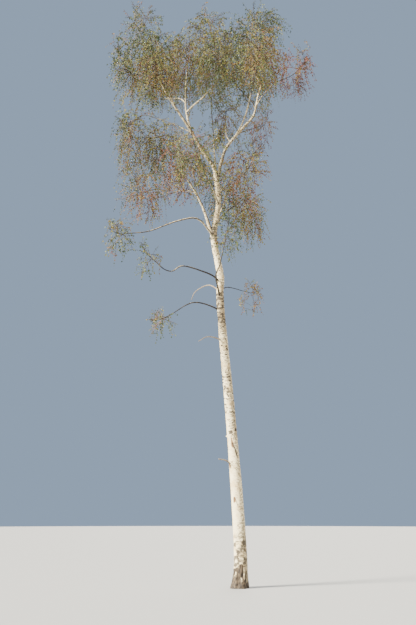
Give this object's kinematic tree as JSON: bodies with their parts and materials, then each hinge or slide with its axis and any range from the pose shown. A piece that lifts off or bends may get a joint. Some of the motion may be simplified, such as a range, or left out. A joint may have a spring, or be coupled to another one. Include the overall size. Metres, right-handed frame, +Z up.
{
  "type": "silver birch tree",
  "caption": "Tall slender birch with a leaning, wavering white trunk, a high fork, arching boughs and open weeping masses of early autumn leaves.",
  "frame": {"origin": "middle of the flat cut at the foot of the trunk, at ground level", "axes": "+Z up the tree, +Y away from the viewer of the front, +X to the viewer's right, so that the trunk leans towards -X"},
  "size_m": [5.9777, 4.7259, 16.1134],
  "materials": {
    "bark": "papery white bark, dark and fissured at the foot",
    "dead_wood": "bare brown-grey wood",
    "leaf_olive": "matt leaf",
    "leaf_gold": "matt leaf turning yellow",
    "leaf_russet": "matt leaf turning brown"
  },
  "bodies": {
    "root": {"trunk": "bark", "left_leader": "bark", "right_leader": "bark", "centre_leader": "bark", "crossing_bough": "bark", "centre_top_bough": "bark", "back_left_bough": "bark", "upper_left_bough": "bark", "left_front_bough": "bark", "left_curtain_bough": "bark", "left_back_bough": "bark", "centre_back_bough": "bark", "right_outer_bough": "bark", "right_inner_bough": "bark", "right_front_bough": "bark", "right_back_bough": "bark", "right_side_bough": "bark", "right_inner_stem": "bark", "fork_right_bough": "bark", "fork_front_bough": "bark", "second_stem": "bark", "second_stem_side": "bark", "long_left_bough": "bark", "right_low_bough": "bark", "back_bough": "bark", "wavy_bough": "bark", "arch_bough": "dead_wood", "front_bough": "bark", "right_mid_bough": "bark", "low_left_bough": "bark", "small_left_bough": "dead_wood", "dead_stub": "dead_wood", "foliage_left_top": "leaf_olive", "foliage_left_outer": "leaf_gold", "foliage_left_front": "leaf_russet", "foliage_left_curtain": "leaf_gold", "foliage_left_back": "leaf_olive", "foliage_left_low_back": "leaf_gold", "foliage_centre_left": "leaf_olive", "foliage_centre_top": "leaf_olive", "foliage_centre_front": "leaf_russet", "foliage_centre_back": "leaf_olive", "foliage_right_top": "leaf_gold", "foliage_right_outer": "leaf_gold", "foliage_right_inner": "leaf_olive", "foliage_right_front": "leaf_olive", "foliage_right_back": "leaf_olive", "foliage_right_side": "leaf_gold", "foliage_right_inner_low": "leaf_russet", "foliage_fork_right": "leaf_gold", "foliage_fork_front": "leaf_russet", "foliage_second_stem_top": "leaf_russet", "foliage_far_left_low": "leaf_gold", "foliage_long_bough_tip": "leaf_olive", "foliage_right_low": "leaf_russet", "foliage_back_low": "leaf_olive", "foliage_front_low": "leaf_olive", "foliage_wavy_tip": "leaf_gold", "foliage_right_mid": "leaf_olive", "foliage_low_left_tip": "leaf_russet"}
  },
  "joints": []
}
